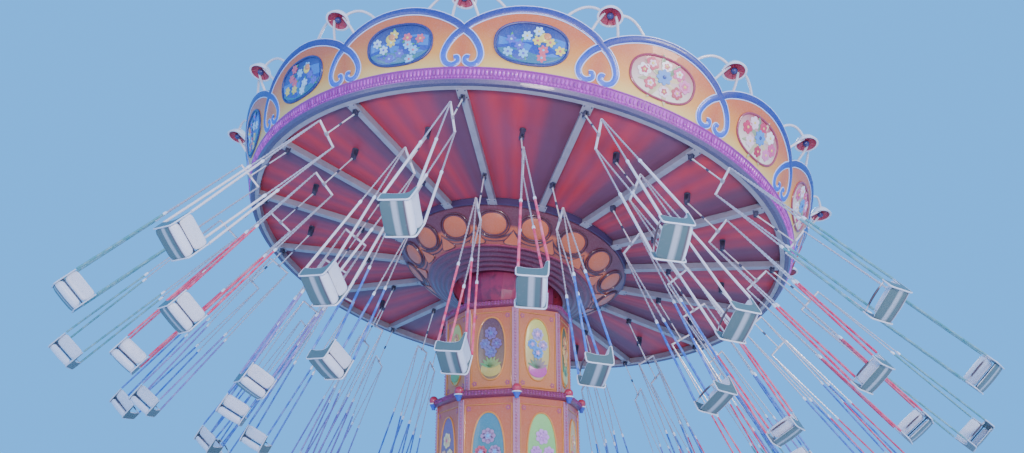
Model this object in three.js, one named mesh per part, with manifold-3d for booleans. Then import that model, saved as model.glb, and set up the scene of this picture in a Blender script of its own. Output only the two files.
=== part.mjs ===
// Chair swing ride: a tower that lifts and tilts a turning canopy, with rings of hanging chairs.
// Millimetres, Z up. The origin is the centre of the base, where it stands on the ground.
import * as THREE from "three";
import { mergeVertices } from "three/addons/utils/BufferGeometryUtils.js";
import Module from "manifold-3d";

const wasm = await Module();
wasm.setup();

// Driving dimensions
const bays = 16;
const towerSides = 8;
const roundSides = 64;
const seatGap = 0.3;
const bearingGap = 0.4;
const weldDistance = 0.001;

// The canopy's place: it tilts about a level axis through the tower's centre line
const pivotHeight = 7470;
const pivotDrop = 920;
const tiltAngle = THREE.MathUtils.degToRad(13.8);
const tiltAzimuth = THREE.MathUtils.degToRad(53.9);
const rotorPhase = THREE.MathUtils.degToRad(57.2);

// The base and the two tower sections, which are octagonal
const towerPhase = THREE.MathUtils.degToRad(-83.5);
const base = { lower: 2300, upper: 1950, step: 200, height: 450 };
const lowerTower = {
  radius: 1440, wall: 80, top: 5200,
  cornice: 1530, corniceDepth: 150, corniceRise: 50, lip: 30, lipSetback: 40,
};
const upperTower = {
  radius: 1285, wall: 70, bottom: 4550, top: 7000,
  cornice: 1350, corniceDepth: 140, corniceRise: 45, lip: 30, lipSetback: 40,
};
const guideDepth = 150;
const deckOpening = 945;
const deckThickness = 60;

// The tilting head and the cheeks that carry it
const head = { flat: 930, flange: 720, shaft: 515, shaftTop: 760, flangeTop: 360, sides: 24 };
const headBowl = [[775, -550], [885, -345], [950, 0], [902, 300]];
const trunnion = { radius: 80, reach: 70, sides: 16 };
const cheek = {
  thickness: 110, width: 300, top: 150, shoulder: 40, slope: 70, ring: 30, ringInner: 895, ringOuter: 1100,
};

// The turning canopy, measured from its centre in the plane of the struts' outer ends
const strut = { outer: 5600, inner: 2380, drop: 235, width: 120, depth: 140, recess: 3 };
const rim = { inner: 5550, outer: 5640 };
const hubRing = { inner: 2330, outer: 2430, bottom: -240 };
const hubPlate = { top: -100, thickness: 60 };
const overlap = 30;
const sheet = 30;
const sheetEdgeGap = 5;
const crown = {
  outer: 2380, middle: 2160, middleHeight: -447, inner: 1680, innerHeight: -740, lip: 60, skin: 20,
};
const funnel = { inner: 1170, innerHeight: -1000 };
const hubSides = 24;
const trim = { ledge: 5725, top: 5822, height: 270, thickness: 28 };
const board = {
  side: 760, middle: 1140, thickness: 42, setback: 2, flare: THREE.MathUtils.degToRad(20.5), columns: 6,
};
const finial = {
  radius: 6380, height: 1290, width: 450, depth: 200, shoulder: 0.36, waist: 0.6, sides: 8,
  lean: THREE.MathUtils.degToRad(-9.5), leg: 44, spread: 0.28, footInset: 14, footDrop: 88,
};
const roof = {
  edge: 5540, apexHeight: 900, capRadius: 420, capShoulder: 378, capWall: 156, capHeight: 260,
};

// The three rings of chairs: where they hang, their length, and how far out they fly
const rings = [
  { name: "outer", radius: 5400, offset: 0, pivot: -90, length: 4800, fling: THREE.MathUtils.degToRad(45) },
  { name: "mid", radius: 4480, offset: 0.5, pivot: -130, length: 4800, fling: THREE.MathUtils.degToRad(40) },
  { name: "inner", radius: 3310, offset: 0, pivot: -242, length: 4500, fling: THREE.MathUtils.degToRad(30) },
];
const hanger = { cheek: 24, rod: 30, depth: 84, below: 38, above: 46, rodWidth: 36, eye: 28 };
const hookLength = 950;
const spreaderSize = 48;
const chain = 26;
const spread = { half: 30, rise: 32, fork: 320 };

// The seat in profile, forward and up from the foot of the chains' length
const seat = {
  width: 510,
  side: [[191, 70], [219, -115], [-193, -160], [-247, 245]],
  sideGap: [[-213, 262], [159, 88]],
  back: [[-227, 230], [-195, 234], [-173, 15], [-205, 12]],
  pan: [[-201, -35], [-169, -32], [-151, -105], [205, -88], [-185, -145]],
};

// Shapes

function lathe(profile, segments, phase = 0) {
  const points = profile.map(([radius, height]) => new THREE.Vector2(radius, height));
  return new THREE.LatheGeometry(points, segments).rotateX(Math.PI / 2).rotateZ(Math.PI / 2 + phase);
}

function ring(profile, segments, phase = 0) {
  return lathe([...profile, profile[0]], segments, phase);
}

function box(size, centre) {
  return new THREE.BoxGeometry(...size).translate(...centre);
}

// A square bar between two points
function bar(from, to, width, depth = width) {
  const start = new THREE.Vector3(...from);
  const run = new THREE.Vector3(...to).sub(start);
  const geometry = new THREE.BoxGeometry(width, depth, run.length()).translate(0, 0, run.length() / 2);
  const turn = new THREE.Quaternion().setFromUnitVectors(new THREE.Vector3(0, 0, 1), run.normalize());
  return geometry.applyQuaternion(turn).translate(...from);
}

// An outline in the plane of Y and Z, with holes, extruded along X about a middle plane
function slab(outline, thickness, middle = 0, holes = []) {
  const shape = new THREE.Shape(outline.map(([y, z]) => new THREE.Vector2(y, z)));
  shape.holes = holes.map((hole) => new THREE.Path(hole.map(([y, z]) => new THREE.Vector2(y, z))));
  const geometry = new THREE.ExtrudeGeometry(shape, { depth: thickness, bevelEnabled: false });
  geometry.translate(0, 0, -thickness / 2);
  const turn = new THREE.Matrix4().makeBasis(
    new THREE.Vector3(0, 1, 0), new THREE.Vector3(0, 0, 1), new THREE.Vector3(1, 0, 0));
  return geometry.applyMatrix4(turn).translate(middle, 0, 0);
}

// Booleans

function solid(geometry) {
  const plain = geometry.clone();
  plain.deleteAttribute("normal");
  plain.deleteAttribute("uv");
  const merged = mergeVertices(plain, weldDistance);
  return new wasm.Manifold(new wasm.Mesh({
    numProp: 3,
    vertProperties: new Float32Array(merged.attributes.position.array),
    triVerts: new Uint32Array(merged.index.array),
  }));
}

function surface(manifold) {
  const mesh = manifold.getMesh();
  const geometry = new THREE.BufferGeometry();
  geometry.setAttribute("position", new THREE.BufferAttribute(new Float32Array(mesh.vertProperties), 3));
  geometry.setIndex(new THREE.BufferAttribute(new Uint32Array(mesh.triVerts), 1));
  geometry.computeVertexNormals();
  return geometry;
}

function join(geometries) {
  return geometries.map(solid).reduce((whole, piece) => whole.add(piece));
}

// Materials

function paint(color, roughness, metalness) {
  return new THREE.MeshStandardMaterial({ color, roughness, metalness });
}

const orangePaint = paint(0xd98a3a, 0.45, 0.0);
const crimsonPaint = paint(0x9a2440, 0.5, 0.0);
const maroonPaint = paint(0x6a1c34, 0.5, 0.0);
const magentaPaint = paint(0xb648a8, 0.45, 0.0);
const palePaint = paint(0xb9bcc8, 0.45, 0.1);
const steelGrey = paint(0x6d7078, 0.4, 0.6);
const roofPaint = paint(0xc9c2b4, 0.6, 0.0);
const chairPlastic = paint(0xd8dbe6, 0.4, 0.0);

// Groups

const ride = new THREE.Group();
const lift = new THREE.Group();
const tilt = new THREE.Group();
const rotor = new THREE.Group();
const tiltAxis = new THREE.Vector3(-Math.sin(tiltAzimuth), Math.cos(tiltAzimuth), 0);
tilt.position.set(0, 0, pivotHeight);
tilt.quaternion.setFromAxisAngle(tiltAxis, tiltAngle);
rotor.position.set(0, 0, pivotDrop);
rotor.rotation.z = rotorPhase;
ride.add(lift);
lift.add(tilt);
tilt.add(rotor);

function place(name, geometry, material, parent) {
  const mesh = new THREE.Mesh(geometry, material.clone());
  mesh.name = name;
  parent.add(mesh);
  return mesh;
}

// Base and tower

function basePlinth() {
  return lathe([[0, 0], [base.lower, 0], [base.lower, base.step], [base.upper, base.step],
    [base.upper, base.height], [0, base.height]], towerSides, towerPhase);
}

function lowerTowerShell() {
  const inside = lowerTower.radius - lowerTower.wall;
  const bottom = base.height + seatGap;
  const neck = lowerTower.top - lowerTower.corniceDepth;
  return ring([[inside, bottom], [lowerTower.radius, bottom], [lowerTower.radius, neck],
    [lowerTower.cornice, neck + lowerTower.corniceRise],
    [lowerTower.cornice, lowerTower.top - lowerTower.lip],
    [lowerTower.cornice - lowerTower.lipSetback, lowerTower.top], [inside, lowerTower.top]],
    towerSides, towerPhase);
}

function upperTowerShell() {
  const inside = upperTower.radius - upperTower.wall;
  const guide = lowerTower.radius - lowerTower.wall - bearingGap / Math.cos(Math.PI / towerSides);
  const neck = upperTower.top - upperTower.corniceDepth;
  const deckBottom = upperTower.top - deckThickness;
  return ring([[inside, upperTower.bottom], [guide, upperTower.bottom],
    [guide, upperTower.bottom + guideDepth], [upperTower.radius, upperTower.bottom + guideDepth],
    [upperTower.radius, neck], [upperTower.cornice, neck + upperTower.corniceRise],
    [upperTower.cornice, upperTower.top - upperTower.lip],
    [upperTower.cornice - upperTower.lipSetback, upperTower.top], [deckOpening, upperTower.top],
    [deckOpening, deckBottom], [inside, deckBottom]], towerSides, towerPhase);
}

// Two cheeks on a ring, with a bore for the head's trunnions, facing along the tilt axis
function tiltCradle() {
  const bottom = upperTower.top + seatGap - pivotHeight;
  const ringTop = bottom + cheek.ring;
  const inner = head.flat + bearingGap;
  const middle = inner + cheek.thickness / 2;
  let cradle = solid(ring([[cheek.ringInner, bottom], [cheek.ringOuter, bottom],
    [cheek.ringOuter, ringTop], [cheek.ringInner, ringTop]], trunnion.sides));
  for (const side of [-1, 1]) {
    const half = cheek.width / 2;
    const outline = [[-half, bottom], [half, bottom], [half, cheek.shoulder],
      [half - cheek.slope, cheek.top], [cheek.slope - half, cheek.top], [-half, cheek.shoulder]];
    const bore = (trunnion.radius + bearingGap) / Math.cos(Math.PI / trunnion.sides);
    const hole = new THREE.CylinderGeometry(bore, bore, cheek.thickness * 2, trunnion.sides);
    const cut = solid(hole.rotateZ(Math.PI / 2).translate(side * middle, 0, 0));
    cradle = cradle.add(solid(slab(outline, cheek.thickness, side * middle))).subtract(cut);
  }
  return surface(cradle).rotateZ(tiltAzimuth + Math.PI / 2);
}

function tiltHead() {
  const flangeTop = head.flangeTop - seatGap;
  const shape = lathe([[0, headBowl[0][1]], ...headBowl, [head.flange, flangeTop - 2 * overlap],
    [head.flange, flangeTop], [head.shaft, flangeTop], [head.shaft, head.shaftTop],
    [0, head.shaftTop]], head.sides);
  const limits = box([head.flat * 2, head.flat * 4, head.flat * 4], [0, 0, 0]);
  const pinLength = (head.flat + trunnion.reach) * 2;
  const pin = new THREE.CylinderGeometry(trunnion.radius, trunnion.radius, pinLength, trunnion.sides);
  const turned = solid(shape).intersect(solid(limits)).add(solid(pin.rotateZ(Math.PI / 2)));
  return surface(turned).rotateZ(tiltAzimuth + Math.PI / 2);
}

place("base_plinth", basePlinth(), steelGrey, ride);
place("lower_tower", lowerTowerShell(), orangePaint, ride);
place("upper_tower", upperTowerShell(), orangePaint, lift);
place("tilt_cradle", tiltCradle(), maroonPaint, lift).position.z = pivotHeight;
place("tilt_head", tiltHead(), maroonPaint, tilt);

// Canopy

const bayAngle = (2 * Math.PI) / bays;
const strutSlope = strut.drop / (strut.outer - strut.inner);

// The height of the struts' undersides at a radius
function underside(radius) {
  return -(strut.outer - radius) * strutSlope;
}

// The point and the level direction at a ring's hang place, in the canopy's own frame
function hangPoint(chairRing, index) {
  const angle = (index + chairRing.offset) * bayAngle;
  return new THREE.Vector3(
    chairRing.radius * Math.cos(angle), chairRing.radius * Math.sin(angle), chairRing.pivot);
}

ride.updateMatrixWorld(true);
const rotorAxis = new THREE.Vector3(0, 0, 1).transformDirection(rotor.matrixWorld);

// Each chair flies in the upright plane through its pivot, and its hinge also lets it hang along the axis
function chairFrame(chairRing, index) {
  const angle = (index + chairRing.offset) * bayAngle;
  const position = hangPoint(chairRing, index).applyMatrix4(rotor.matrixWorld);
  const outward = new THREE.Vector3(Math.cos(angle), Math.sin(angle), 0);
  outward.transformDirection(rotor.matrixWorld).setZ(0).normalize();
  const up = new THREE.Vector3(0, 0, Math.cos(chairRing.fling));
  up.addScaledVector(outward, -Math.sin(chairRing.fling));
  const travel = new THREE.Vector3(outward.y, -outward.x, 0);
  const right = new THREE.Vector3().crossVectors(travel, up);
  const hinge = new THREE.Vector3().crossVectors(rotorAxis, up).normalize();
  const twist = Math.atan2(-hinge.dot(right), hinge.dot(travel));
  return { position, right, travel, up, hinge, twist };
}

// Two cheeks under a strut or stem, with the slot across the hinge line
function hangBracket(chairRing, index, top) {
  const half = hanger.rod / 2 + bearingGap;
  const outer = half + hanger.cheek;
  const outline = [[-outer, -hanger.below], [-half, -hanger.below], [-half, hanger.above],
    [half, hanger.above], [half, -hanger.below], [outer, -hanger.below], [outer, top], [-outer, top]];
  const toRotor = rotor.matrixWorld.clone().invert();
  const hinge = chairFrame(chairRing, index).hinge.transformDirection(toRotor);
  const turn = Math.atan2(hinge.y, hinge.x) - Math.PI / 2;
  return slab(outline, hanger.depth).rotateZ(turn).translate(...hangPoint(chairRing, index).toArray());
}

function sweepFrame() {
  const pieces = [];
  const low = (radius) => [radius, underside(radius) - strut.recess];
  const high = (radius) => [radius, underside(radius) + strut.depth];
  pieces.push(ring([low(rim.inner), low(rim.outer), high(rim.outer), high(rim.inner)], roundSides));
  pieces.push(ring([[hubRing.inner, hubRing.bottom], [hubRing.outer, hubRing.bottom],
    [hubRing.outer, underside(hubRing.outer) + strut.depth],
    [hubRing.inner, underside(hubRing.outer) + strut.depth]], roundSides));
  const bore = (head.shaft + bearingGap) / Math.cos(Math.PI / head.sides);
  const plateBottom = hubPlate.top - hubPlate.thickness;
  const tubeBottom = head.flangeTop - pivotDrop;
  pieces.push(ring([[bore, tubeBottom], [head.flange, tubeBottom], [head.flange, plateBottom],
    [hubRing.inner + overlap, plateBottom], [hubRing.inner + overlap, hubPlate.top], [bore, hubPlate.top]],
    hubSides));
  for (let index = 0; index < bays; index += 1) {
    const angle = index * bayAngle;
    const inner = hubRing.inner + overlap;
    const outer = rim.inner + overlap;
    const top = strut.depth - strut.recess;
    const outline = [[inner, underside(inner)], [outer, underside(outer)],
      [outer, underside(outer) + top], [inner, underside(inner) + top]];
    pieces.push(slab(outline, strut.width).rotateZ(angle - Math.PI / 2));
    for (const chairRing of [rings[0], rings[2]]) {
      pieces.push(hangBracket(chairRing, index, underside(chairRing.radius) - chairRing.pivot + overlap));
    }
  }
  return surface(join(pieces));
}

// The painted ceiling sheet lies on the struts and carries the middle ring's hangers
function soffit() {
  const inner = hubRing.outer + sheetEdgeGap;
  const outer = rim.outer;
  const height = (radius) => underside(radius) + strut.depth + seatGap;
  const pieces = [ring([[inner, height(inner)], [outer, height(outer)],
    [outer, height(outer) + sheet], [inner, height(inner) + sheet]], roundSides)];
  const middleRing = rings[1];
  for (let index = 0; index < bays; index += 1) {
    pieces.push(hangBracket(middleRing, index, height(middleRing.radius) - middleRing.pivot + sheet / 2));
  }
  return surface(join(pieces));
}

function roofCone() {
  const slope = (roof.apexHeight - strut.depth) / roof.edge;
  const bottom = underside(roof.edge) + strut.depth + sheet + 2 * seatGap;
  const at = (radius) => bottom + (roof.edge - radius) * slope;
  return lathe([[0, at(0)], [roof.edge, bottom], [roof.edge, bottom + sheet],
    [roof.capRadius, at(roof.capRadius) + sheet], [roof.capShoulder, at(0) + roof.capWall],
    [0, at(0) + roof.capHeight]], roundSides);
}

function hubCrown() {
  const top = hubRing.bottom - seatGap;
  return ring([[crown.inner, crown.innerHeight], [crown.inner + crown.lip, crown.innerHeight],
    [crown.middle + crown.skin, crown.middleHeight - crown.skin], [crown.outer + crown.skin, top - sheet],
    [crown.outer + crown.skin, top], [crown.outer - crown.lip, top],
    [crown.middle - crown.skin, crown.middleHeight + crown.skin]], hubSides);
}

function hubFunnel() {
  const top = crown.innerHeight - seatGap;
  return ring([[funnel.inner, funnel.innerHeight], [crown.inner + crown.lip, top - sheet],
    [crown.inner + crown.lip, top], [crown.inner - crown.skin, top],
    [funnel.inner, funnel.innerHeight + sheet]], hubSides);
}

function rimTrim() {
  const start = rim.outer + seatGap;
  return ring([[start, 0], [trim.ledge, 0], [trim.top, trim.height],
    [trim.top - trim.thickness, trim.height], [trim.ledge - trim.thickness, sheet], [start, sheet]],
    roundSides);
}

// A round band of sixteen arched boards, flared outward, that meet at the struts. The ring is made with
// stand-in radii, and each point is then moved to its place on the boards.
function boardBand() {
  const bottom = trim.height + seatGap;
  const segments = bays * board.columns;
  const section = [["out", 0], ["out", 1], ["in", 1], ["in", 0]];
  const geometry = ring(section.map(([face, end]) => [face === "out" ? 2 : 1, end]), segments);
  const position = geometry.attributes.position;
  for (let index = 0; index < position.count; index += 1) {
    const column = Math.floor(index / (section.length + 1));
    const [face, end] = section[(index % (section.length + 1)) % section.length];
    const angle = (column * bayAngle) / board.columns;
    const across = (column % board.columns) / board.columns;
    const along = end * archHeight(across);
    const thickness = face === "in" ? board.thickness : 0;
    const radius = trim.top - board.setback + along * Math.sin(board.flare) - thickness;
    const height = bottom + along * Math.cos(board.flare);
    position.setXYZ(index, radius * Math.cos(angle), radius * Math.sin(angle), height);
  }
  return geometry;
}

// A board's height up its slope: a circular arch that starts at the height where neighbours cross
function archHeight(across) {
  const rise = board.middle - board.side;
  const halfWidth = trim.top * Math.sin(bayAngle / 2);
  const radius = (halfWidth ** 2 + rise ** 2) / (2 * rise);
  const offset = (across - 0.5) * 2 * halfWidth;
  return board.middle - radius + Math.sqrt(radius ** 2 - offset ** 2);
}

// A point on the boards' upper edge, a fraction of a bay beside a strut
function boardEdge(across) {
  const along = archHeight(Math.abs(across)) - finial.footDrop;
  const radius = trim.top - finial.footInset + along * Math.sin(board.flare);
  const height = trim.height + along * Math.cos(board.flare);
  return [radius * Math.cos(across * bayAngle), radius * Math.sin(across * bayAngle), height];
}

// A domed cap held out from the crossing of two boards by three legs
function finialPieces() {
  const cap = lathe([[0, 0], [finial.width / 2, 0],
    [finial.width * finial.shoulder, finial.depth * finial.waist], [0, finial.depth]], finial.sides);
  cap.rotateY(finial.lean).translate(finial.radius, 0, finial.height);
  const seatPoint = [
    finial.radius + finial.leg * Math.sin(finial.lean), 0, finial.height + finial.leg * Math.cos(finial.lean)];
  const feet = [-finial.spread, 0, finial.spread];
  return [cap, ...feet.map((across) => bar(boardEdge(across), seatPoint, finial.leg))];
}

function roundingBoards() {
  const pieces = [boardBand()];
  for (let index = 0; index < bays; index += 1) {
    pieces.push(...finialPieces().map((piece) => piece.rotateZ(index * bayAngle)));
  }
  return surface(join(pieces));
}

place("sweep_frame", sweepFrame(), palePaint, rotor);
place("soffit", soffit(), crimsonPaint, rotor);
place("roof", roofCone(), roofPaint, rotor);
place("hub_crown", hubCrown(), orangePaint, rotor);
place("hub_funnel", hubFunnel(), maroonPaint, rotor);
place("rim_trim", rimTrim(), magentaPaint, rotor);
place("rounding_boards", roundingBoards(), orangePaint, rotor);

// Chairs

// A profile moved down to the foot of the chains
function lower(outline, length) {
  return outline.map(([y, z]) => [y, z - length]);
}

// One side of a chair: two chains that part from the spreader's end, and the bucket's side panel
function chairSide(length, middle) {
  const top = -hookLength;
  const ends = [[-spread.half, top + spread.rise], [spread.half, top + spread.rise]];
  const outline = [...ends, ...lower(seat.side, length)];
  const hole = [[0, top - spread.fork], ...lower(seat.sideGap, length)];
  return slab(outline, chain, middle, [hole]);
}

function chair(length, twist) {
  const half = seat.width / 2;
  const rod = box([hanger.rodWidth, hanger.rod, hookLength + hanger.eye],
    [0, 0, (hanger.eye - hookLength) / 2]).rotateZ(twist);
  const pieces = [
    rod,
    box([seat.width, spreaderSize, spreaderSize], [0, 0, -hookLength]),
    chairSide(length, -half),
    chairSide(length, half),
    slab(lower(seat.back, length), seat.width),
    slab(lower(seat.pan, length), seat.width),
  ];
  return surface(join(pieces));
}

for (const chairRing of rings) {
  for (let index = 0; index < bays; index += 1) {
    const frame = chairFrame(chairRing, index);
    const name = `${chairRing.name}_chair_${String(index + 1).padStart(2, "0")}`;
    const mesh = place(name, chair(chairRing.length, frame.twist), chairPlastic, ride);
    const basis = new THREE.Matrix4().makeBasis(frame.right, frame.travel, frame.up);
    mesh.position.copy(frame.position);
    mesh.quaternion.setFromRotationMatrix(basis);
  }
}

export default ride;
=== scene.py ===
"""Chair swing ride: the finish of a tower, a tilted turning canopy and three rings of hanging chairs.

Metres, Z up, from the centre of the base. The canopy's pieces are made in its own tilted frame, each chair
in one that hangs from its pivot, and the tower's pieces in a frame turned to its corners.
"""
import random
from math import atan2, copysign, cos, pi, radians, sin, sqrt
from types import SimpleNamespace as Sizes

import bmesh
import bpy
from mathutils import Matrix, Vector


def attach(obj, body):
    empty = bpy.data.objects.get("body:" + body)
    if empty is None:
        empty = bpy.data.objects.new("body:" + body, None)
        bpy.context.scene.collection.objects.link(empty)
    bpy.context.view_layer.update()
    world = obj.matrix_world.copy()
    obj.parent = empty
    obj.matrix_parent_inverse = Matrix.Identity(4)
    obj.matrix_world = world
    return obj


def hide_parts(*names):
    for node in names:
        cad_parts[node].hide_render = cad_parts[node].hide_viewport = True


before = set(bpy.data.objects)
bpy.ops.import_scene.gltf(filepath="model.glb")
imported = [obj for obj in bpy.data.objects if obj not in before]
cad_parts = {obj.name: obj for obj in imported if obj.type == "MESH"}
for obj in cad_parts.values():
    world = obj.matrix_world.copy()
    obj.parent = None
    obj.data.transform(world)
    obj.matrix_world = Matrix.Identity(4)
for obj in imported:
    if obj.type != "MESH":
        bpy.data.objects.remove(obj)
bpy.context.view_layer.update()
chance = random.Random(11)

# Places and sizes that the solids share
BAYS = 16
BAY = 2 * pi / BAYS
PIVOT_HEIGHT = 7.47
PIVOT_DROP = 0.92
TILT = radians(13.8)
TILT_AZIMUTH = radians(53.9)
ROTOR_PHASE = radians(57.2)
TOWER_PHASE = radians(-83.5)
STRUT_OUTER = 5.6
STRUT_INNER = 2.38
STRUT_DROP = 0.235
STRUT_DEPTH = 0.14
STRUT_WIDTH = 0.12
RIM_INNER = 5.55
RIM_OUTER = 5.64
TRIM_LEDGE = 5.725
TRIM_TOP = 5.822
TRIM_HEIGHT = 0.27
BOARD_SIDE = 0.76
BOARD_MIDDLE = 1.14
BOARD_FLARE = radians(20.5)
BOARD_THICKNESS = 0.042
FINIAL_RADIUS = 6.38
FINIAL_HEIGHT = 1.29
FINIAL_LEAN = radians(-9.5)
HUB_INNER = 2.33
HUB_OUTER = 2.43
ROUND_SIDES = 128
FACES = 8
FACE = 2 * pi / FACES
LOWER_TOWER = Sizes(radius=1.44, inside=1.36, bottom=0.4503, neck=5.05, cornice=1.53, top=5.2)
UPPER_TOWER = Sizes(radius=1.285, inside=1.215, bottom=4.55, neck=6.86, cornice=1.35, top=7.0)
HOOK_LENGTH = 0.95
RINGS = {
    "outer": Sizes(radius=5.4, offset=0.0, pivot=-0.09, length=4.8, fling=radians(45)),
    "mid": Sizes(radius=4.48, offset=0.5, pivot=-0.13, length=4.8, fling=radians(40)),
    "inner": Sizes(radius=3.31, offset=0.0, pivot=-0.242, length=4.5, fling=radians(30)),
}
UP = Vector((0, 0, 1))


def tone(red, green, blue):
    """A linear colour from display values."""
    parts = []
    for value in (red, green, blue):
        share = value / 255
        parts.append(share / 12.92 if share <= 0.04045 else ((share + 0.055) / 1.055) ** 2.4)
    return Vector((*parts, 1))


# Colours
ROYAL_BLUE = tone(26, 44, 134)
SKY_BLUE = tone(34, 84, 200)
PALE_EDGE = tone(186, 200, 236)
BOARD_ORANGE = tone(198, 98, 44)
BOARD_YELLOW = tone(222, 144, 50)
BOARD_CREAM = tone(228, 190, 98)
MAGENTA = tone(150, 30, 150)
PINK_PURPLE = tone(208, 64, 204)
DARK_LEDGE = tone(78, 66, 104)
CRIMSON = tone(204, 52, 62)
CRIMSON_DEEP = tone(170, 54, 70)
MAROON = tone(112, 60, 80)
STRUT_GREY = tone(156, 148, 156)
DARK_STEEL = tone(64, 62, 82)
OVAL_ORANGE = tone(208, 100, 52)
OVAL_EDGE = tone(126, 36, 44)
SCALLOP = tone(88, 26, 46)
HUB_EDGE = tone(74, 58, 92)
# Painted light: a pink lighter than the hub's paint, so that its shaded inside reads as dark crimson
HUB_INSIDE_PAINTED_LIGHT = tone(226, 90, 132)
FUNNEL_RED = tone(106, 28, 56)
# Painted shade for the funnel's sunken grooves
FUNNEL_GROOVE_SHADE = tone(86, 26, 54)
TOWER_ORANGE = tone(178, 76, 36)
TOWER_YELLOW = tone(208, 132, 46)
LILAC = tone(176, 114, 142)
ROSE = tone(160, 60, 96)
CORNICE_MAGENTA = tone(122, 28, 72)
KNOB_RED = tone(180, 40, 70)
WHITE = tone(226, 228, 236)
WARM_WHITE = tone(214, 204, 208)
SHELL_WHITE = tone(212, 214, 226)
SHELL_GREEN = tone(82, 104, 106)
SHELL_DARK = tone(92, 74, 80)
CAP_RED = tone(160, 34, 62)
CAP_BLUE = tone(44, 46, 108)
ROOF_CREAM = tone(206, 198, 182)
TEAL = tone(36, 110, 140)
LEAF_GREEN = tone(70, 146, 84)
NIGHT_BLUE = tone(30, 40, 112)
SLEEVES = {
    "red": tone(216, 52, 92),
    "blue": tone(44, 100, 190),
    "teal": tone(78, 146, 152),
    "cream": tone(214, 204, 208),
    "purple": tone(124, 110, 186),
}


# Places

at = Matrix.Translation


def turn(angle, axis="Z"):
    return Matrix.Rotation(angle, 4, axis)


def basis(right, ahead, up, place):
    """A matrix from three directions and a place."""
    return at(place) @ Matrix((right, ahead, up)).transposed().to_4x4()


TILT_AXIS = Vector((-sin(TILT_AZIMUTH), cos(TILT_AZIMUTH), 0))
ROTOR = at((0, 0, PIVOT_HEIGHT)) @ turn(TILT, TILT_AXIS) @ at((0, 0, PIVOT_DROP)) @ turn(ROTOR_PHASE)
TOWER = turn(TOWER_PHASE)
PLACES = {"canopy": ROTOR, "tilt_unit": ROTOR, "base": TOWER, "tower_lift": TOWER}


def circle(count):
    return [2 * pi * step / count for step in range(count)]


def steps(count):
    """Shares from 0 to 1."""
    return [step / count for step in range(count + 1)]


def aim(direction):
    """A turn that brings Z to a direction."""
    return direction.to_track_quat("Z", "X").to_matrix().to_4x4()


def polar(radius, angle, height=0.0):
    return Vector((radius * cos(angle), radius * sin(angle), height))


def loop(radius, height, sides=ROUND_SIDES):
    return [polar(radius, angle, height) for angle in circle(sides)]


def clamp(value):
    return min(max(value, 0), 1)


def underside(radius):
    """The height of the struts' undersides at a radius."""
    return -(STRUT_OUTER - radius) * STRUT_DROP / (STRUT_OUTER - STRUT_INNER)


def chair_frame(ring, index):
    """The frame of a chair at its pivot, and the twist of its hook about its length."""
    angle = (index + ring.offset) * BAY
    pivot = ROTOR @ polar(ring.radius, angle, ring.pivot)
    rotor_turn = ROTOR.to_3x3()
    outward = rotor_turn @ polar(1, angle)
    outward.z = 0.0
    outward.normalize()
    up = Vector((0, 0, cos(ring.fling))) - outward * sin(ring.fling)
    travel = Vector((outward.y, -outward.x, 0))
    right = travel.cross(up)
    hinge = (rotor_turn @ UP).cross(up).normalized()
    twist = atan2(-hinge.dot(right), hinge.dot(travel))
    return basis(right, travel, up, pivot), twist


# Finishes

class Finish:
    """A node material, built one node at a time."""

    def __init__(self, name, roughness=0.5, metallic=0.0):
        self.material = bpy.data.materials.new(name)
        self.material.use_nodes = True
        self.nodes = self.material.node_tree.nodes
        self.shader = self.nodes["Principled BSDF"]
        self.shader.inputs["Roughness"].default_value = roughness
        self.shader.inputs["Metallic"].default_value = metallic
        self.where = self.add("TexCoord").outputs["Object"]

    def join(self, value, socket):
        if isinstance(value, bpy.types.NodeSocket):
            self.material.node_tree.links.new(value, socket)
        else:
            socket.default_value = value

    def add(self, kind, inputs=None, **settings):
        node = self.nodes.new("ShaderNode" + kind)
        for key, value in settings.items():
            setattr(node, key, value)
        for key, value in (inputs or {}).items():
            self.join(value, node.inputs[key])
        return node

    def noise(self, scale, detail=4.0, roughness=0.55):
        inputs = {"Vector": self.where, "Scale": scale, "Detail": detail, "Roughness": roughness}
        return self.add("TexNoise", inputs).outputs["Fac"]

    def spread(self, value, low, high, to_low=0.0, to_high=1.0):
        inputs = {"Value": value, "From Min": low, "From Max": high, "To Min": to_low, "To Max": to_high}
        return self.add("MapRange", inputs).outputs["Result"]

    def blend(self, share, first, second):
        node = self.add("Mix", data_type="RGBA")
        for index, value in ((0, share), (6, first), (7, second)):
            self.join(value, node.inputs[index])
        return node.outputs[2]

    def tint(self):
        return self.add("Attribute", attribute_name="Tint").outputs["Color"]

    def bump(self, height, distance, strength=0.6):
        inputs = {"Height": height, "Distance": distance, "Strength": strength}
        self.join(self.add("Bump", inputs).outputs["Normal"], self.shader.inputs["Normal"])

    def colour(self, value):
        self.join(value, self.shader.inputs["Base Color"])

    def rough(self, mask, low, high):
        self.join(self.spread(mask, 0, 1, low, high), self.shader.inputs["Roughness"])


def enamel():
    """Gloss sign paint: faint clouds, brush grain and dust."""
    finish = Finish("enamel")
    clouds = finish.spread(finish.noise(2.6), 0.3, 0.72)
    grain = finish.noise(46.0, 3.0)
    aged = finish.blend(finish.spread(clouds, 0, 1, 0, 0.14), finish.tint(), tone(110, 88, 100))
    finish.colour(finish.blend(finish.spread(grain, 0.42, 0.8, 0, 0.08), aged, tone(236, 226, 222)))
    finish.rough(clouds, 0.32, 0.52)
    finish.bump(grain, 0.0016)
    finish.shader.inputs["Coat Weight"].default_value = 0.25
    return finish.material


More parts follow.
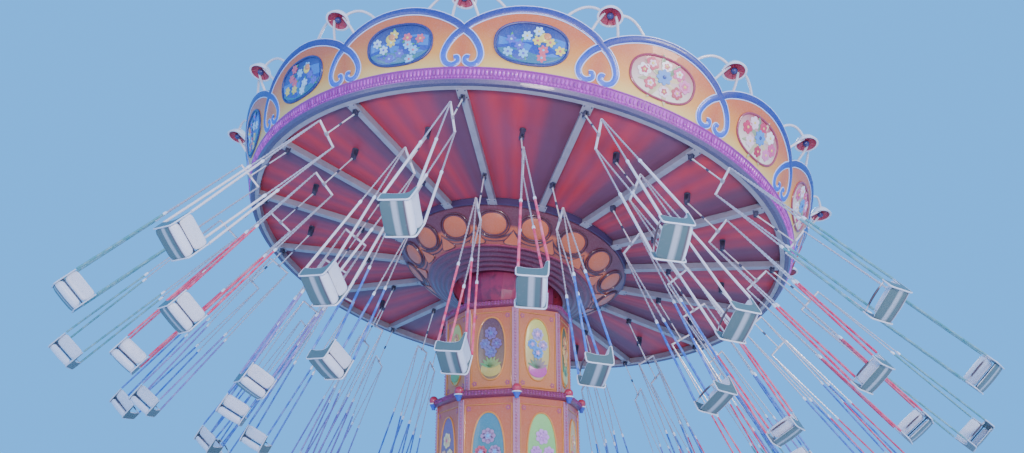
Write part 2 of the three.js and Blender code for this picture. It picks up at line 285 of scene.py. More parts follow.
def worn_finish(name, patches, edges, most, colour, rough, grain=None, metallic=0, base=None):
    """Patches of wear or dirt on the tint or a base colour, with a fine grain.

    patches: scale, detail and roughness. edges: where wear starts and is full. most: its share there.
    rough: roughness without and with it. grain: scale, depth and strength.
    """
    finish = Finish(name, metallic=metallic)
    mask = finish.spread(finish.noise(*patches), *edges)
    share = mask if most == 1 else finish.spread(mask, 0, 1, 0, most)
    finish.colour(finish.blend(share, base or finish.tint(), colour))
    finish.rough(mask, *rough)
    if grain:
        finish.bump(finish.noise(grain[0], 2), *grain[1:])
    return finish.material


def sleeve():
    """Braided, faded vinyl over the lower chains."""
    finish = Finish("sleeve_vinyl")
    inputs = {"Vector": finish.where, "Scale": 30.0, "Distortion": 1.5}
    weave = finish.add("TexWave", inputs, bands_direction="Z").outputs["Fac"]
    faded = finish.spread(finish.noise(7.0), 0.4, 0.75)
    finish.colour(finish.blend(finish.spread(faded, 0, 1, 0, 0.3), finish.tint(), WHITE))
    finish.rough(weave, 0.42, 0.62)
    finish.bump(weave, 0.0014, 0.5)
    return finish.material


def plinth():
    """Galvanised deck plates with scuffed edges."""
    finish = Finish("plinth_steel", metallic=0.5)
    spangle = finish.add("TexVoronoi", {"Vector": finish.where, "Scale": 34.0}).outputs["Distance"]
    scuff = finish.spread(finish.noise(5.0, 6.0, 0.7), 0.45, 0.75)
    metal = finish.blend(spangle, tone(128, 132, 142), tone(160, 164, 172))
    finish.colour(finish.blend(finish.spread(scuff, 0, 1, 0, 0.5), metal, tone(86, 84, 88)))
    finish.rough(scuff, 0.38, 0.66)
    finish.bump(spangle, 0.001, 0.3)
    return finish.material


def paper():
    """Plain pale studio floor."""
    finish = Finish("stage_paper", 0.9)
    soft = finish.spread(finish.noise(0.15, 2.0), 0.3, 0.7)
    finish.colour(finish.blend(soft, tone(222, 228, 236), tone(230, 234, 240)))
    return finish.material


ENAMEL = enamel()
SLEEVE = sleeve()
PLINTH = plinth()
PAPER = paper()
# Painted structural steel with grime
STEEL = worn_finish("satin_steel", (3.4, 6, 0.65), (0.48, 0.78), 0.4, tone(92, 84, 98), (0.38, 0.62),
                    (120, 0.0008, 0.4), 0.1)
# Moulded seat shell with scuffs and a fine pebble
PLASTIC = worn_finish("moulded_plastic", (17, 7, 0.7), (0.56, 0.74), 0.35, tone(128, 126, 134), (0.36, 0.6),
                      (210, 0.0006, 0.5))
# Zinc-plated chain seen through its worn finish
CHAIN = worn_finish("chain_steel", (38, 5, 0.7), (0.4, 0.7), 1, tone(168, 160, 176), (0.3, 0.55), None, 0.45)
# Painted ceiling sheet with dusty patches
CEILING = worn_finish("ceiling_vinyl", (0.9, 5, 0.6), (0.36, 0.7), 0.28, tone(132, 92, 124), (0.45, 0.68),
                      (160, 0.0009, 0.4))
# Stained roofing sheet
ROOF = worn_finish("roof_sheet", (1.7, 7, 0.66), (0.4, 0.72), 0.5, tone(150, 138, 120), (0.5, 0.75),
                   (180, 0.0012, 0.4), 0, ROOF_CREAM)
# Dark red machine enamel with glossy grease
MACHINE = worn_finish("machine_paint", (6, 6, 0.65), (0.5, 0.72), 1, tone(84, 40, 66), (0.5, 0.28),
                      (90, 0.0008, 0.4), 0.1, tone(140, 42, 78))


# Forms

def put(name, data):
    """A new object in the scene."""
    thing = bpy.data.objects.new(name, data)
    bpy.context.scene.collection.objects.link(thing)
    return thing


class Form:
    """The points, tints and faces of one piece. What is added takes the finish that mark holds."""

    def __init__(self):
        self.mark = ENAMEL
        self.points = []
        self.tints = []
        self.faces = []
        self.marks = []

    def cap(self, indices):
        self.faces.append(tuple(indices))
        self.marks.append(self.mark)

    def skin(self, rows, tint, ring=True, closed=False):
        """Faces between rows of points, with one tint, one for each row, or one for each point.

        ring closes each row, closed joins the last row to the first.
        """
        table = []
        for row, places in enumerate(rows):
            shade = tint[row] if isinstance(tint, list) else tint
            table.append(list(range(len(self.points), len(self.points) + len(places))))
            self.points += [Vector(place) for place in places]
            self.tints += shade if isinstance(shade, list) else [shade] * len(places)
        count = len(table[0])
        for row in range(len(table) if closed else len(table) - 1):
            here, there = table[row], table[(row + 1) % len(table)]
            for column in range(count if ring else count - 1):
                after = (column + 1) % count
                self.cap((here[column], here[after], there[after], there[column]))
        return table

    def solid(self, rows, tint):
        """A closed form through rings of points."""
        table = self.skin(rows, tint)
        self.cap(reversed(table[0]))
        self.cap(table[-1])

    def turned(self, profile, place, sides, tint):
        """A turned form about Z, from pairs of radius and height."""
        rows = [loop(max(radius, 0.0002), height, sides) for radius, height in profile]
        self.solid([[place @ spot for spot in row] for row in rows], tint)

    def hoop(self, section, sides, tint):
        """A closed ring about Z, from a closed section of radius and height."""
        self.skin([loop(radius, height, sides) for radius, height in section], tint, closed=True)

    def ball(self, place, radius, tint, sides=8, rings=5, stretch=1.0):
        """A ball with its poles along the place's Z."""
        profile = []
        for ring in range(rings + 1):
            angle = pi * ring / rings - pi / 2
            profile.append((radius * cos(angle), radius * sin(angle) * stretch))
        self.turned(profile, place, sides, tint)

    def tube(self, path, radius, tint, sides=8, side=UP, closed=False):
        """A tube along points. radius and tint may be one for each point."""
        rows = []
        count = len(path)
        for index, place in enumerate(path):
            before = path[index - 1] if index or closed else path[0]
            after = path[(index + 1) % count] if index < count - 1 or closed else path[-1]
            run = (after - before).normalized()
            guide = side if abs(run.dot(side)) < 0.97 else Vector((1, 0, 0))
            across = run.cross(guide).normalized()
            lift = across.cross(run).normalized()
            size = radius[index] if isinstance(radius, list) else radius
            rows.append([place + across * (size * cos(angle)) + lift * (size * sin(angle))
                         for angle in circle(sides)])
        if closed:
            self.skin(rows, tint, closed=True)
        else:
            self.solid(rows, tint)

    def band(self, path, normals, widths, depth, tints):
        """A raised band with a crowned section, along a path on a surface."""
        section = [(-0.5, -0.6), (-0.5, 0.55), (-0.4, 0.85), (0, 1), (0.4, 0.85), (0.5, 0.55), (0.5, -0.6)]
        rows = []
        for index, (place, normal, width) in enumerate(zip(path, normals, widths)):
            run = path[min(index + 1, len(path) - 1)] - path[max(index - 1, 0)]
            across = run.cross(normal).normalized()
            rows.append([place + across * (x * width) + normal * (y * depth) for x, y in section])
        self.solid(rows, tints)

    def plate(self, outline, depth, place, tint, edge=0.25):
        """A raised flat shape with a bevelled rim, in the place's own X and Y."""
        centre = sum((Vector(spot) for spot in outline), Vector((0, 0))) / len(outline)
        inset = [centre + (Vector(spot) - centre) * (1 - edge * 0.12) for spot in outline]
        rows = []
        for shape, height in ((outline, -depth * 0.5), (outline, depth * (1 - edge)), (inset, depth)):
            rows.append([place @ Vector((x, y, height)) for x, y in shape])
        self.cap(self.skin(rows, tint)[-1])

    def block(self, place, size, tint, chamfer=0.006):
        """A box with rounded edges."""
        box = bmesh.new()
        bmesh.ops.create_cube(box, size=1.0)
        bmesh.ops.scale(box, vec=size, verts=box.verts)
        bmesh.ops.bevel(box, geom=box.edges[:], offset=chamfer, segments=2, profile=0.7, affect="EDGES")
        first = len(self.points)
        self.points += [place @ vert.co for vert in box.verts]
        self.tints += [tint] * len(box.verts)
        for face in box.faces:
            self.cap([first + vert.index for vert in face.verts])
        box.free()

    def make(self, name, body, replaces=None, place=None):
        """The Blender object, in the shared frame, riding its body."""
        mesh = bpy.data.meshes.new(name)
        frame_here = place or PLACES[body]
        mesh.from_pydata([frame_here @ spot for spot in self.points], [], self.faces)
        used = list(dict.fromkeys(self.marks))
        for finish in used:
            mesh.materials.append(finish)
        mesh.polygons.foreach_set("material_index", [used.index(finish) for finish in self.marks])
        tints = mesh.attributes.new("Tint", "FLOAT_COLOR", "POINT")
        tints.data.foreach_set("color", [part for tint in self.tints for part in tint])
        outward = bmesh.new()
        outward.from_mesh(mesh)
        bmesh.ops.recalc_face_normals(outward, faces=outward.faces)
        outward.to_mesh(mesh)
        outward.free()
        mesh.shade_smooth()
        mesh.set_sharp_from_angle(angle=radians(38))
        piece = put(name, mesh)
        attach(piece, body)
        if replaces:
            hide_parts(replaces)


def ellipse(across, up, count=40, power=2.0):
    """An oval outline; a higher power squares it."""
    outline = []
    for angle in circle(count):
        x, y = cos(angle), sin(angle)
        outline.append((across * copysign(abs(x) ** (2 / power), x),
                        up * copysign(abs(y) ** (2 / power), y)))
    return outline


def smooth(points, count):
    """A curve through points, by the Catmull-Rom rule, with count steps to each span."""
    path = []
    last = len(points) - 1
    for index in range(last):
        before, here, there = points[max(index - 1, 0)], points[index], points[index + 1]
        beyond = points[min(index + 2, last)]
        for share in steps(count)[:-1]:
            path.append(0.5 * ((2 * here) + (there - before) * share
                               + (2 * before - 5 * here + 4 * there - beyond) * share * share
                               + (3 * here - before - 3 * there + beyond) * share ** 3))
    path.append(points[-1])
    return path


def smooth_ring(outline, count):
    """A closed curve through pairs."""
    return smooth([Vector(spot) for spot in outline + outline[:1]], count)[:-1]


# Rounding boards

HALF_BOARD = TRIM_TOP * sin(BAY / 2)
BOARD_RISE = BOARD_MIDDLE - BOARD_SIDE
ARCH_RADIUS = (HALF_BOARD ** 2 + BOARD_RISE ** 2) / (2 * BOARD_RISE)
RIBBON_WIDTH = 0.115
CURL_WIDTH = 0.06
CURL = [(0, 0.68), (0.15, 0.555), (0.27, 0.38), (0.32, 0.21), (0.27, 0.075), (0.16, 0.035), (0.065, 0.09),
        (0.075, 0.17), (0.135, 0.165)]
ROSE_BAYS = (2, 4, 10, 11, 12, 13, 15)
PICTURE_PLACE = at((0, 0.475, 0.004))
PICTURE_HALVES = (0.6, 0.37)


def arch_height(x):
    """A board's height up its slope, at a distance from its middle."""
    return BOARD_MIDDLE - ARCH_RADIUS + sqrt(ARCH_RADIUS ** 2 - x ** 2)


def board_normal(across):
    return polar(cos(BOARD_FLARE), across * BAY, -sin(BOARD_FLARE))


def board_point(across, up, out=0.0):
    """A point on the boards: bays round, metres up the slope, metres off the face."""
    radius = TRIM_TOP + up * sin(BOARD_FLARE)
    height = TRIM_HEIGHT + up * cos(BOARD_FLARE)
    return polar(radius, across * BAY, height) + board_normal(across) * out


def lay_on_boards(form, across, first):
    """Moves points made on a flat sheet to the boards' curved face."""
    for index in range(first, len(form.points)):
        spot = form.points[index]
        form.points[index] = board_point(across + spot.x / (2 * HALF_BOARD), spot.y, spot.z)


def board_tint(share, up):
    """Cream, then yellow, then orange at the top and the sides."""
    rise = up / BOARD_MIDDLE
    warm = max((rise - 0.3) / 0.35, (abs(share - 0.5) - 0.34) / 0.14)
    return BOARD_CREAM.lerp(BOARD_YELLOW, clamp(rise / 0.25)).lerp(BOARD_ORANGE, clamp(warm))


def board_panels(form):
    shares = steps(22)
    for bay in range(BAYS):
        outer, inner, tints = [], [], []
        for level in steps(12):
            ups = [arch_height((2 * share - 1) * HALF_BOARD) * level for share in shares]
            line = [board_point(bay + share, up) for share, up in zip(shares, ups)]
            outer.append(line)
            inner.append([spot - polar(BOARD_THICKNESS, (bay + share) * BAY)
                          for share, spot in zip(shares, line)])
            tints.append([board_tint(share, up) for share, up in zip(shares, ups)])
        form.skin(outer, tints, False)
        form.skin(inner, BOARD_ORANGE * 0.8, False)
        form.skin([outer[-1], inner[-1]], ROYAL_BLUE, False)
        form.skin([outer[0], inner[0]], MAGENTA, False)


def board_ribbons(form, extra, depth, high, low):
    """The boards' outlines, which cross at the struts and end in curls."""
    arc = [Vector((x, arch_height(x) - RIBBON_WIDTH / 2)) for x in (0, 0.2, 0.4, 0.6, 0.8, 1)]
    half = smooth(arc + [Vector((HALF_BOARD + x, y)) for x, y in CURL], 5)
    narrows = [max((share - 0.42) / 0.58, 0) for share in steps(len(half) - 1)]
    widths = [RIBBON_WIDTH + (CURL_WIDTH - RIBBON_WIDTH) * narrow + extra for narrow in narrows]
    tints = [high.lerp(low, clamp((0.72 - spot.y) / 0.5)) for spot in half]
    for bay in range(BAYS):
        for side in (-1, 1):
            places = [bay + 0.5 + side * spot.x / (2 * HALF_BOARD) for spot in half]
            path = [board_point(across, spot.y, 0.004 + 0.002 * side) for across, spot in zip(places, half)]
            form.band(path, [board_normal(across) for across in places], widths, depth, tints)


def board_outlines_pale(form):
    board_ribbons(form, 0.034, 0.008, PALE_EDGE, PALE_EDGE)


def board_outlines(form):
    board_ribbons(form, 0, 0.018, ROYAL_BLUE, SKY_BLUE)


def board_edges(form):
    """A rounded bead along the top edge of every board."""
    shares = [0.004 + 0.992 * share for share in steps(24)]
    ups = [arch_height((2 * share - 1) * HALF_BOARD) + 0.004 for share in shares]
    for bay in range(BAYS):
        path = [board_point(bay + share, up, -BOARD_THICKNESS / 2) for share, up in zip(shares, ups)]
        form.tube(path, 0.026, ROYAL_BLUE, 10)


def board_braces(form):
    """Rails, uprights and raking stays behind the boards."""
    form.mark = STEEL
    for up in (0.3, 0.66):
        path = [board_point(angle / BAY, up, -BOARD_THICKNESS - 0.016) for angle in circle(ROUND_SIDES)]
        form.tube(path, 0.02, STRUT_GREY, 6, closed=True)
    for index in range(2 * BAYS):
        across = index / 2
        foot = polar(5.5, across * BAY, 0.2)
        head = board_point(across, 0.92 if index % 2 else 0.66, -BOARD_THICKNESS - 0.02)
        form.tube([foot, foot.lerp(head, 0.5), head], 0.02, STRUT_GREY)
        upright = [board_point(across, up, -BOARD_THICKNESS - 0.008) for up in (0.04, 0.35, 0.7)]
        form.tube(upright, 0.024, STRUT_GREY, 6)


# Painted flowers in low relief, for the boards and the tower

def petals(form, place, count, reach, width, depth, tint, heart, lead=0.0):
    """A flower of raised petals about a domed heart."""
    for angle in circle(count):
        petal = place @ turn(lead + angle) @ at((reach * 0.55, 0, 0))
        form.plate(ellipse(reach * 0.5, width * 0.5, 10), depth, petal, tint)
    form.ball(place @ at((0, 0, depth)), reach * 0.26, heart, 10, 4, 0.5)


def leaf(form, place, length, width, depth, tint, angle):
    outline = []
    for step in circle(12):
        pinch = 1 - 0.45 * abs(cos(step)) ** 3
        outline.append((length * 0.5 * cos(step), width * 0.5 * sin(step) * pinch))
    form.plate(outline, depth, place @ turn(angle) @ at((length * 0.5, 0, 0)), tint)


def rim(form, place, outline, lift, radius, tint, sides=8, side=None):
    """A tube along a closed outline, just off a face."""
    path = [place @ Vector((*spot, lift)) for spot in outline]
    form.tube(path, radius, tint, sides, side or place.to_3x3() @ UP, closed=True)


def medallion(form, place, across, up, depth, low, high, radius, edge, power=2.4, grow=0.0):
    """A domed oval field, shaded from bottom to top, in a round frame."""
    oval = ellipse(across, up, 48, power)
    rows, shades = [], []
    for ring in steps(6):
        share = 1 - ring * 0.97
        rows.append([place @ Vector((x * share, y * share, depth * (1 - share ** 4))) for x, y in oval])
        shades.append([low.lerp(high, 0.5 + 0.5 * y * share / up) for x, y in oval])
    form.cap(form.skin(rows, shades)[-1])
    rim(form, place, ellipse(across + grow, up + grow, 48, power), 0.004, radius, edge)


def waves(form, place, across, up, tints):
    """Bands of hills one behind another inside an oval."""
    for index, tint in enumerate(tints):
        crest, foot = [], []
        for step in steps(24):
            x = (2 * step - 1) * 0.9
            limit = up * 0.93 * sqrt(max(1 - x ** 2, 0.02))
            y = min(up * (0.28 - 0.34 * index + 0.13 * sin(3.2 * x + 1.7 * index)), limit)
            crest.append((across * x, y))
            foot.append((across * x, min(-limit, y - 0.004)))
        form.plate(crest + foot[::-1], 0.008 + 0.003 * index, place, tint, 0.1)


def blue_picture(form, shift):
    """Hills and water below a moon, with scattered blossoms."""
    place = PICTURE_PLACE
    across, up = PICTURE_HALVES
    medallion(form, place, across, up, 0.01, tone(40, 96, 190), NIGHT_BLUE, 0.024, NIGHT_BLUE)
    waves(form, place @ at((0, 0, 0.006)), across, up, [tone(36, 116, 196), tone(28, 62, 160), TEAL])
    moon = place @ at((across * (0.33 if shift % 2 else -0.28), up * 0.36, 0.012))
    form.ball(moon, 0.085, tone(226, 206, 96), 20, 6, 0.3)
    form.ball(moon @ at((0.035, 0.02, 0.012)), 0.066, tone(206, 132, 84), 16, 6, 0.35)
    blooms = [tone(120, 184, 226), tone(214, 196, 96), tone(84, 84, 190), tone(206, 92, 110),
              tone(170, 206, 226)]
    for index in range(11):
        x, y, _ = polar(0.28 + 0.052 * index, 2.4 * index + shift)
        spot = place @ at((across * x, up * y - 0.02, 0.016))
        leaf(form, spot, 0.13, 0.045, 0.004, LEAF_GREEN.lerp(TEAL, (index % 3) / 3), 1.3 * index)
        bloom, heart = blooms[(index + shift) % 5], blooms[(index + 3) % 5]
        petals(form, spot, 6, 0.085, 0.055, 0.006, bloom, heart, 0.4 * index)


def rose_picture(form, shift):
    """Large pink and white blossoms about a blue one."""
    place = PICTURE_PLACE
    across, up = PICTURE_HALVES
    field, sky, edge = tone(232, 222, 206), tone(168, 56, 78), tone(150, 50, 76)
    medallion(form, place, across, up, 0.01, field, sky, 0.022, edge)
    for index in range(8):
        green = tone(120, 150, 112).lerp(tone(226, 196, 150), index / 7)
        leaf(form, place @ at((0, -0.02, 0.008)), 0.46, 0.09, 0.005, green, 0.8 * index + shift)
    spots = [(-0.62, 0.1, 0.12), (-0.36, -0.42, 0.11), (0.1, -0.58, 0.1), (0.5, -0.4, 0.11),
             (0.68, 0.05, 0.12), (0.42, 0.5, 0.12), (0, 0.62, 0.1), (-0.42, 0.52, 0.12)]
    shades = [tone(212, 84, 136), tone(236, 226, 228), tone(196, 52, 90), tone(232, 196, 212),
              tone(176, 44, 74), tone(218, 120, 172)]
    for index, (x, y, reach) in enumerate(spots):
        spot = place @ at((x * across, y * up, 0.012))
        petals(form, spot, 6, reach, reach * 0.8, 0.008, shades[(index + shift) % 6], BOARD_CREAM, index)
        petals(form, spot @ at((0, 0, 0.006)), 5, reach * 0.55, reach * 0.45, 0.006,
               shades[(index + 2) % 6], tone(226, 176, 84), index + 0.5)
    heart = place @ at((0, 0.03, 0.016))
    petals(form, heart, 8, 0.14, 0.085, 0.01, tone(76, 138, 206), tone(36, 70, 150), shift)


def board_pictures(form):
    for bay in range(BAYS):
        first = len(form.points)
        if bay in ROSE_BAYS:
            rose_picture(form, bay % 3)
        else:
            blue_picture(form, bay % 4)
        lay_on_boards(form, bay + 0.5, first)


# Finials

FINIAL_DOME = [(0, 0.2), (0.04, 0.197), (0.1, 0.178), (0.158, 0.128), (0.203, 0.056), (0.222, 0.016),
               (0.225, 0.003), (0.22, 0), (0.19, 0.001)]
FINIAL_HOLLOW = [(0.184, 0.006), (0.16, 0.03), (0.11, 0.052), (0.05, 0.066), (0, 0.068)]
FINIAL_LEGS = [(-0.29, 0.13, 0.15, 0.09), (0.29, 0.13, 0.15, 0.09), (-0.1, 0.02, 0.1, 0.07),
               (0.1, 0.02, 0.1, 0.07)]


def finial_place(bay):
    """The middle of a cap's lower edge."""
    return at(polar(FINIAL_RADIUS, bay * BAY, FINIAL_HEIGHT)) @ turn(bay * BAY) @ turn(FINIAL_LEAN, "Y")


def finial_caps(form):
    """White domes over the crossings, red and hollow within, about a blue boss."""
    tints = [WHITE] * len(FINIAL_DOME) + [CAP_RED] * len(FINIAL_HOLLOW)
    for bay in range(BAYS):
        place = finial_place(bay)
        form.turned(FINIAL_DOME + FINIAL_HOLLOW, place, 24, tints)
        for angle in circle(10):
            path = [place @ polar(radius, angle, height - 0.003) for radius, height in FINIAL_HOLLOW[:4]]
            form.tube(path, 0.007, CAP_RED * 0.8, 4)
        form.ball(place @ at((0, 0, 0.03)), 0.062, CAP_BLUE, 12, 6, 0.9)


def finial_legs(form):
    """Two long and two short curved legs from the boards to each cap."""
    for bay in range(BAYS):
        place = finial_place(bay)
        outward = polar(1, bay * BAY)
        along = outward.cross(UP)
        for across, lift, reach, height in FINIAL_LEGS:
            up = arch_height((1 - 2 * abs(across)) * HALF_BOARD) - 0.02
            foot = board_point(bay + across, up, -BOARD_THICKNESS / 2)
            head = place @ (UP * height) - along * copysign(reach, across)
            bend = foot.lerp(head, 0.5) + UP * (lift * 2) + outward * 0.06
            path = [foot.lerp(bend, share).lerp(bend.lerp(head, share), share) for share in steps(12)]
            form.tube(path, 0.025, WARM_WHITE)
            form.ball(at(foot), 0.036, WHITE)


# Rim trim

def trim_band(form):
    """The dark ledge and the flared band behind the beads."""
    ledge, top = TRIM_LEDGE, TRIM_TOP
    slope = (top - ledge) / TRIM_HEIGHT
    section = [(5.642, 0), (5.648, -0.004), (ledge - 0.004, -0.004), (ledge + 0.004, 0.004),
               (ledge + 0.03 * slope, 0.03), (ledge + 0.012 + 0.05 * slope, 0.045),
               (ledge + 0.012 + 0.075 * slope, 0.07), (ledge + 0.09 * slope, 0.09),
               (ledge + 0.24 * slope, 0.24), (top + 0.01, 0.25), (top + 0.014, 0.262),
               (top, TRIM_HEIGHT), (top - 0.028, TRIM_HEIGHT), (ledge - 0.028, 0.03), (5.642, 0.03)]
    form.hoop(section, ROUND_SIDES, [DARK_LEDGE] * 6 + [MAGENTA] * 5 + [MAGENTA * 0.7] * 4)


def trim_point(across, up, out=0.0):
    """A point on the trim: bays round, a share of its height, metres off it."""
    radius = TRIM_LEDGE + (TRIM_TOP - TRIM_LEDGE) * up
    return polar(radius + out, across * BAY, TRIM_HEIGHT * up - out * 0.3)


def trim_beads(form, count, up, radius, stretch, rings):
    """One row of beads round the trim."""
    for index in range(BAYS * count):
        across = (index + 0.5) / count
        spot = at(trim_point(across, up, 0.004)) @ aim(trim_point(across, 1) - trim_point(across, 0))
        form.ball(spot, radius, MAGENTA.lerp(PINK_PURPLE, chance.random()), 6, rings, stretch)


def trim_beads_tall(form):
    trim_beads(form, 32, 0.66, 0.026, 2.2, 6)


def trim_beads_round(form):
    trim_beads(form, 40, 0.36, 0.022, 1, 4)


# Canopy frame, ceiling and roof

RAYS = 9
BOLT = [(0, -0.012), (0.011, -0.012), (0.013, -0.009), (0.013, 0.004), (0, 0.004)]
NUT = [(0, -0.008), (0.017, -0.008), (0.019, -0.005), (0.019, 0.005), (0.017, 0.008), (0, 0.008)]


def strut_beams(form):
    """Box struts with flanges, end plates and bolts."""
    form.mark = STEEL
    ends = (HUB_INNER + 0.03, STRUT_OUTER - 0.02)
    start, end = (Vector((radius, 0, underside(radius))) for radius in ends)
    length = (end - start).length
    run = (end - start) / length
    side = Vector((0, 1, 0))
    for index in range(BAYS):
        beam = turn(index * BAY) @ basis(run, side, run.cross(side), start)
        web = (length, STRUT_WIDTH - 0.016, STRUT_DEPTH - 0.012)
        form.block(beam @ at((length / 2, 0, STRUT_DEPTH / 2)), web, STRUT_GREY * 0.92, 0.004)
        form.block(beam @ at((length / 2, 0, 0.006)), (length, STRUT_WIDTH, 0.012), STRUT_GREY, 0.004)
        for share, size in ((0.035, 0.2), (0.962, 0.24)):
            plate = beam @ at((length * share, 0, -0.004))
            form.block(plate, (size, STRUT_WIDTH + 0.07, 0.012), STRUT_GREY * 1.04, 0.004)
            for x in (-0.35, 0.35):
                for y in (-0.065, 0.065):
                    form.turned(BOLT, plate @ at((x * size, y, -0.006)), 6, DARK_STEEL * 1.4)


def canopy_rings(form):
    """Rim ring, hub ring, and the hub's plate, tube and ribs. The plate, tube and ribs take a pink lighter
    than their paint, as painted light for the hub's shaded inside.
    """
    form.mark = STEEL
    low, high = underside(RIM_INNER), underside(RIM_OUTER) + STRUT_DEPTH
    section = [(RIM_INNER, low), (RIM_INNER + 0.006, low - 0.004), (RIM_OUTER - 0.006, low + 0.002),
               (RIM_OUTER, low + 0.008), (RIM_OUTER, high), (RIM_INNER, high - 0.007)]
    form.hoop(section, ROUND_SIDES, STRUT_GREY)
    top = underside(HUB_OUTER) + STRUT_DEPTH
    section = [(HUB_INNER, -0.238), (HUB_INNER + 0.005, -0.24), (HUB_OUTER - 0.005, -0.24),
               (HUB_OUTER, -0.235), (HUB_OUTER, top), (HUB_INNER, top)]
    form.hoop(section, ROUND_SIDES, HUB_EDGE)
    plate = HUB_INNER + 0.03
    section = [(0.522, -0.558), (0.7, -0.558), (0.72, -0.548), (0.72, -0.16), (plate, -0.16), (plate, -0.1),
               (0.522, -0.1)]
    form.hoop(section, 48, HUB_INSIDE_PAINTED_LIGHT)
    for index in range(BAYS):
        rib = turn((index + 0.5) * BAY) @ at((1.5, 0, -0.185))
        form.block(rib, (1.5, 0.02, 0.05), HUB_INSIDE_PAINTED_LIGHT * 0.7, 0.003)


def hanger_bracket(form, ring, index, top):
    """Two dark cheeks with nuts, and a saddle above them."""
    chair_place, twist = chair_frame(ring, index)
    hinge = ROTOR.to_3x3().inverted() @ (chair_place @ turn(twist)).to_3x3() @ Vector((0, 1, 0))
    pivot = polar(ring.radius, (index + ring.offset) * BAY, ring.pivot)
    place = at(pivot) @ turn(atan2(hinge.y, hinge.x))
    height = top + 0.036
    for side in (-1, 1):
        cheek = place @ at((side * 0.0275, 0, height / 2 - 0.036))
        form.block(cheek, (0.023, 0.083, height), DARK_STEEL, 0.005)
        form.turned(NUT, place @ at((side * 0.043, 0, 0)) @ turn(pi / 2, "Y"), 6, DARK_STEEL * 1.5)
    saddle = place @ at((0, 0, 0.052 + (top - 0.052) / 2))
    form.block(saddle, (0.078, 0.1, max(top - 0.052, 0.02)), DARK_STEEL)


def strut_hangers(form):
    form.mark = STEEL
    for ring in (RINGS["outer"], RINGS["inner"]):
        for index in range(BAYS):
            hanger_bracket(form, ring, index, underside(ring.radius) - ring.pivot + 0.02)


def middle_hangers(form):
    """Brackets below the ceiling for the middle ring of chairs, each with a collar."""
    form.mark = STEEL
    ring = RINGS["mid"]
    top = underside(ring.radius) + STRUT_DEPTH
    collar = [(0, -0.012), (0.055, -0.012), (0.06, -0.006), (0.06, 0.01), (0, 0.01)]
    for index in range(BAYS):
        hanger_bracket(form, ring, index, top - ring.pivot)
        form.turned(collar, at(polar(ring.radius, (index + ring.offset) * BAY, top - 0.01)), 18, DARK_STEEL)


def ceiling_tint(share, out):
    """Crimson with soft rays after each strut, maroon before the next."""
    ray = 0.5 - 0.5 * cos(pi * share * RAYS)
    dusk = clamp((share - 0.52) / 0.26)
    dusk = dusk * dusk * (3 - 2 * dusk)
    return CRIMSON.lerp(CRIMSON_DEEP, ray).lerp(MAROON, clamp(dusk * 0.9 + 0.25 * (1 - out)))


def ceiling_sheet(form):
    """The pleated ceiling between the hub ring and the rim."""
    form.mark = CEILING
    inner, outer = HUB_OUTER + 0.005, RIM_OUTER
    outs = steps(12)
    for bay in range(BAYS):
        lines, tints = [], []
        for share in steps(4 * RAYS):
            sag = 0.006 * abs(sin(pi * share * RAYS))
            line = []
            for out in outs:
                radius = inner + (outer - inner) * out
                height = underside(radius) + STRUT_DEPTH + 0.0005
                line.append(polar(radius, (bay + share) * BAY, height + (sag if out else 0)))
            lines.append(line)
            tints.append([ceiling_tint(share, out) for out in outs])
        form.skin(lines, tints, False)
    form.mark = ROOF
    lid = [loop(radius, underside(radius) + STRUT_DEPTH + 0.03) for radius in (inner, outer)]
    form.skin(lid, ROOF_CREAM)


def roof_cone(form):
    """The roof's cone with standing seams, a lantern cap and a bright edge."""
    form.mark = ROOF
    edge, eye = 5.54, 0.42
    bottom = underside(edge) + STRUT_DEPTH + 0.0306
    slope = (0.9 - STRUT_DEPTH) / edge
    rows = [loop(edge, bottom)]
    for share in steps(12):
        fall = (edge - eye) * share
        rows.append(loop(edge - fall, bottom + 0.03 + fall * slope))
    form.skin(rows, ROOF_CREAM)
    runs = [(edge - eye - 0.02) * share for share in steps(8)]
    for index in range(BAYS):
        seam = [polar(edge - 0.02 - run, index * BAY, bottom + 0.036 + run * slope) for run in runs]
        form.tube(seam, 0.022, ROOF_CREAM)
    cap = [(0, -0.05), (0.44, -0.05), (0.46, 0), (0.44, 0.03), (0.4, 0.05), (0.385, 0.17), (0.41, 0.185),
           (0.38, 0.215), (0.2, 0.262), (0, 0.27)]
    form.turned(cap, at((0, 0, bottom + (edge - eye) * slope + 0.03)), 32, ROOF_CREAM)
    form.mark = ENAMEL
    rise = ((5.5, 0.026), (5.552, 0.018), (5.552, 0.05), (5.5, 0.056))
    form.hoop([(radius, bottom + height) for radius, height in rise], ROUND_SIDES, MAGENTA)


# Hub

CROWN_RIM = Vector((2.4, -0.27))
CROWN_BEND = Vector((2.18, -0.467))
CROWN_FOOT = Vector((1.74, -0.742))
CROWN_RUN = (CROWN_RIM - CROWN_BEND).length + (CROWN_BEND - CROWN_FOOT).length
CROWN_SIDES = 96


def crown_point(angle, along, out=0.0):
    """A point under the crown: an angle, metres down its slope, metres off it."""
    share = min(max(along / CROWN_RUN, -0.02), 1.02)
    radius, height = CROWN_RIM + (CROWN_FOOT - CROWN_RIM) * share
    belly = -0.03 * sin(pi * clamp(share))
    return polar(radius, angle, height + belly) + polar(-0.56, angle, -0.83) * out


def crown_place(angle, along, out):
    down = (crown_point(angle, along + 0.05) - crown_point(angle, along - 0.05)).normalized()
    side = polar(1, angle + pi / 2)
    return basis(side, -down, side.cross(-down), crown_point(angle, along, out))


